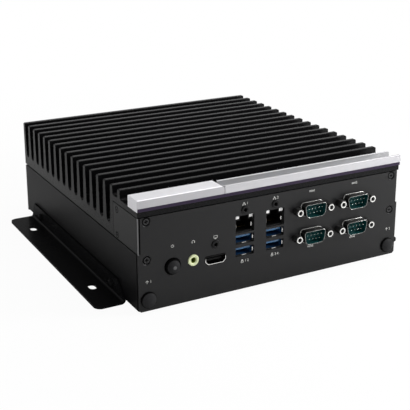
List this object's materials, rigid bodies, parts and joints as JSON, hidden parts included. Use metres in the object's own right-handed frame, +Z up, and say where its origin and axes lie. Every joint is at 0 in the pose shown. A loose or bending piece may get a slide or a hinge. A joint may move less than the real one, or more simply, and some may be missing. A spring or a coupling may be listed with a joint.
{
  "type": "edge computer",
  "caption": "Fanless edge computer: finned heat sink on a black sheet case, connectors and a push button on the front, silver trim and slotted side brackets.",
  "frame": {"origin": "under the middle of the object's box, in the plane that the bracket feet stand on", "axes": "+X to the right seen from the connector side, +Y from the connectors to the rear, +Z up"},
  "size_m": [0.244, 0.2216, 0.0759],
  "materials": {
    "heat_sink": "die cast, black powder coat",
    "black_sheet": "black powder coat on steel sheet",
    "bracket_paint": "smooth black paint on steel sheet",
    "silver_trim": "fine blasted and anodised",
    "accent_purple": "thin plastic strip",
    "black_screws": "black zinc on steel",
    "plain_screws": "nickel plated",
    "nickel": "nickel plated steel",
    "teal_plastic": "moulded",
    "black_plastic": "moulded",
    "gold_contacts": "gold plated",
    "clear_lens": "translucent moulded",
    "blue_plastic": "moulded",
    "lime_plastic": "moulded",
    "button_plastic": "moulded, satin",
    "black_studs": "black zinc on steel",
    "plug_rubber": "moulded, satin",
    "green_terminal": "moulded",
    "circuit_board": "solder mask on glass fibre",
    "bare_aluminium": "milled",
    "pad": "soft silicone"
  },
  "bodies": {
    "case": {"heat_sink": "heat_sink", "front_panel": "black_sheet", "chassis_base": "black_sheet", "rear_panel": "black_sheet", "left_bracket": "bracket_paint", "right_bracket": "bracket_paint", "nameplate_block": "silver_trim", "trim_bar": "silver_trim", "accent_strip": "accent_purple", "front_panel_screws": "black_screws", "side_screws": "black_screws", "rear_panel_screws": "black_screws", "bracket_screws": "black_screws", "ground_screw": "plain_screws", "board_screws": "plain_screws", "board_standoffs": "plain_screws", "module_standoffs": "plain_screws", "storage_standoff": "plain_screws", "serial_shell_1": "nickel", "serial_shell_2": "nickel", "serial_shell_3": "nickel", "serial_shell_4": "nickel", "jack_screws": "nickel", "lan_usb_shield_left": "nickel", "lan_usb_shield_right": "nickel", "display_shell": "nickel", "serial_insert_1": "teal_plastic", "serial_insert_2": "teal_plastic", "serial_insert_3": "teal_plastic", "serial_insert_4": "teal_plastic", "lan_insert_left": "black_plastic", "lan_insert_right": "black_plastic", "display_insert": "black_plastic", "audio_jack_body": "black_plastic", "power_switch": "black_plastic", "serial_housing_left": "black_plastic", "serial_housing_right": "black_plastic", "module_connector": "black_plastic", "storage_socket": "black_plastic", "serial_pins": "gold_contacts", "lan_contacts": "gold_contacts", "lan_lights": "clear_lens", "usb_insert_left": "blue_plastic", "usb_insert_right": "blue_plastic", "audio_jack": "lime_plastic", "lock_studs": "black_studs", "front_hole_plugs": "plug_rubber", "rear_hole_plugs": "plug_rubber", "power_inlet": "green_terminal", "carrier_board": "circuit_board", "compute_module": "circuit_board", "storage_card": "circuit_board", "heat_spreader": "bare_aluminium", "thermal_pad": "pad"},
    "button": {"power_button": "button_plastic"}
  },
  "joints": [
    {"name": "power_button_press", "type": "slide", "parent": "case", "child": "button", "axis": [0, 1, 0], "range_m": [0, 0.0012], "stiffness_N_per_m": 600, "springref_m": -0.002}
  ]
}
